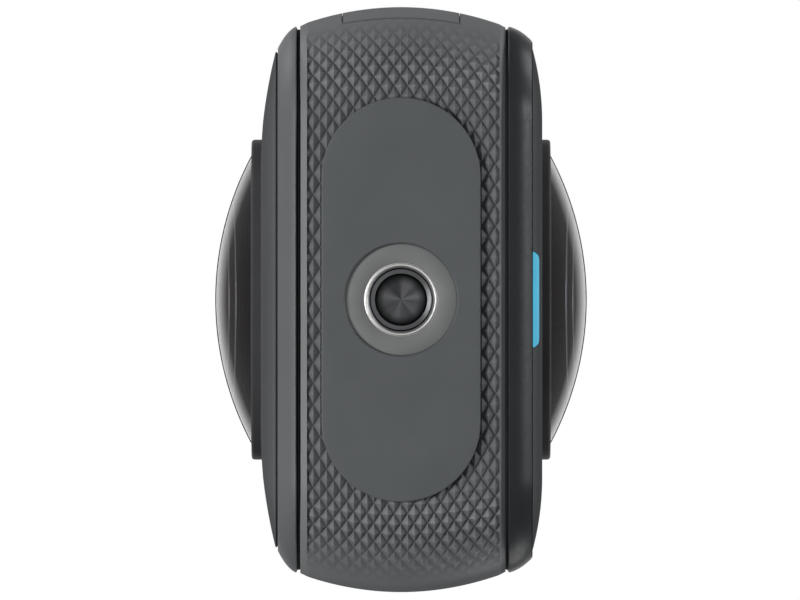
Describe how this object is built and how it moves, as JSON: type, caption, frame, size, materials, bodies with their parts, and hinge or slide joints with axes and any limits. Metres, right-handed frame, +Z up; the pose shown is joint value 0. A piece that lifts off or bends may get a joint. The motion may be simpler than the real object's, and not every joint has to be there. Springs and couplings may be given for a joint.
{
  "type": "360 degree camera",
  "caption": "Slab pocket camera with a dome lens on each face, knurled side band, round screen, shutter button, sliding battery and a tripod socket in its base.",
  "frame": {"origin": "centre of the base pad's face, on the tripod socket's axis", "axes": "+Z up the body's length, -Y towards the front with the screen, +X to the right seen from the front"},
  "size_m": [0.0462, 0.0306, 0.113],
  "materials": {
    "band_polymer": "knurled, satin",
    "pad_polymer": "smooth, satin",
    "insert_metal": "anodised, bead blasted",
    "black_rubber": "matt",
    "front_frame_polymer": "satin",
    "rear_frame_polymer": "satin",
    "front_cover_polymer": "semi gloss",
    "rear_cover_polymer": "satin",
    "screw_steel": "plated",
    "chassis_alloy": "as cast",
    "bezel_metal": "anodised, turned",
    "dome_glass": "polished, coated",
    "optical_glass": "polished, coated",
    "black_polymer": "matt",
    "circuit_board": "solder mask",
    "screen_glass": "polished",
    "button_polymer": "satin",
    "light_guide": "translucent",
    "thermal_rubber": "matt",
    "copper_sheet": "rolled",
    "battery_case": "satin",
    "gold_contacts": "plated"
  },
  "bodies": {
    "body": {"side_band": "band_polymer", "base_pad": "pad_polymer", "tripod_insert": "insert_metal", "front_gasket": "black_rubber", "rear_gasket": "black_rubber", "front_frame": "front_frame_polymer", "rear_frame": "rear_frame_polymer", "front_cover": "front_cover_polymer", "rear_cover": "rear_cover_polymer", "front_frame_screws": "screw_steel", "rear_frame_screws": "screw_steel", "chassis": "chassis_alloy", "lens_tube": "chassis_alloy", "lens_tube_screws": "screw_steel", "front_bezel": "bezel_metal", "rear_bezel": "bezel_metal", "front_dome": "dome_glass", "rear_dome": "dome_glass", "front_dome_seal": "black_rubber", "rear_dome_seal": "black_rubber", "front_barrel": "black_polymer", "rear_barrel": "black_polymer", "front_inner_lens": "optical_glass", "rear_inner_lens": "optical_glass", "front_prism": "optical_glass", "rear_prism": "optical_glass", "front_sensor": "black_polymer", "rear_sensor": "black_polymer", "front_sensor_board": "circuit_board", "rear_sensor_board": "circuit_board", "screen_glass": "screen_glass", "display_panel": "black_polymer", "front_board": "circuit_board", "shutter_switch": "black_polymer", "status_light": "light_guide", "status_leds": "light_guide", "main_board": "circuit_board", "shield_can": "screw_steel", "thermal_pad": "thermal_rubber", "heat_spreader": "copper_sheet", "power_switch": "black_polymer", "usb_door_pin": "screw_steel", "usb_socket": "screw_steel", "battery_connector": "black_polymer", "card_cage": "screw_steel", "microphones": "gold_contacts", "speaker": "black_polymer"},
    "shutter": {"shutter_button": "button_polymer"},
    "power": {"power_button": "button_polymer"},
    "charge_door": {"usb_door": "band_polymer", "usb_door_seal": "black_rubber"},
    "battery": {"battery_cell": "battery_case", "battery_cover": "band_polymer", "battery_seal": "black_rubber", "battery_contacts": "gold_contacts"},
    "latch": {"battery_latch": "button_polymer"},
    "card": {"memory_card": "black_polymer"}
  },
  "joints": [
    {"name": "shutter_press", "type": "slide", "parent": "body", "child": "shutter", "axis": [0, 1, 0], "range_m": [0, 0.0005], "stiffness_N_per_m": 1000},
    {"name": "power_press", "type": "slide", "parent": "body", "child": "power", "axis": [1, 0, 0], "range_m": [0, 0.0004], "stiffness_N_per_m": 1200},
    {"name": "door_hinge", "type": "hinge", "parent": "body", "child": "charge_door", "pos_m": [-0.022, 0, 0.026], "axis": [0, 1, 0], "range_deg": [0, 90]},
    {"name": "battery_slide", "type": "slide", "parent": "body", "child": "battery", "axis": [1, 0, 0], "range_m": [0, 0.036]},
    {"name": "latch_slide", "type": "slide", "parent": "battery", "child": "latch", "axis": [0, 0, -1], "range_m": [0, 0.003], "stiffness_N_per_m": 200},
    {"name": "card_push", "type": "slide", "parent": "body", "child": "card", "axis": [0, 0, 1], "range_m": [0, 0.0008], "stiffness_N_per_m": 500}
  ]
}
